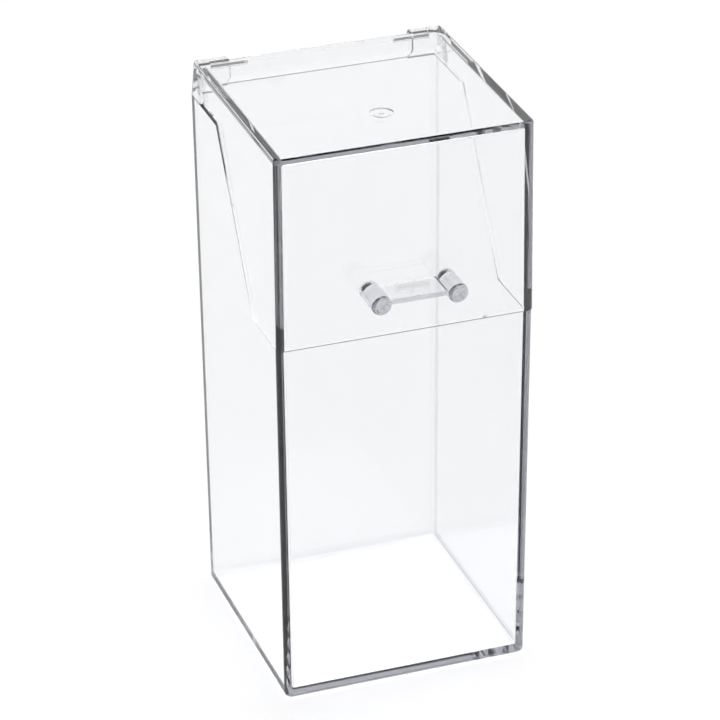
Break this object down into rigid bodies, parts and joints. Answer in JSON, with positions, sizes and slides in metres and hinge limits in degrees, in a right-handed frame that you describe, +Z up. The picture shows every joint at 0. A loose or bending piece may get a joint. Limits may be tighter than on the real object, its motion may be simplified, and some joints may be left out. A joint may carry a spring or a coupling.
{
  "type": "flip-top pick box",
  "caption": "Tall square clear plastic box for small loose items such as picks, with a slanted flip-up lid on two steel pins and an H-shaped pull.",
  "frame": {"origin": "centre of the square foot, on the surface the box stands on", "axes": "+Z up along the box's height, -Y to the front with the pull, +X to the right seen from the front"},
  "size_m": [0.071, 0.0803, 0.158],
  "materials": {
    "body_clear": "clear polished polystyrene",
    "lid_clear": "clear polished polystyrene",
    "pull_clear": "clear polished polystyrene",
    "pin_steel": "drawn steel wire"
  },
  "bodies": {
    "body": {"body": "body_clear"},
    "lid": {"lid": "lid_clear", "lid_pull": "pull_clear", "hinge_pin_left": "pin_steel", "hinge_pin_right": "pin_steel"}
  },
  "joints": [
    {"name": "lid_hinge", "type": "hinge", "parent": "body", "child": "lid", "pos_m": [0, 0.032, 0.155], "axis": [-1, 0, 0], "range_deg": [0, 180]}
  ]
}
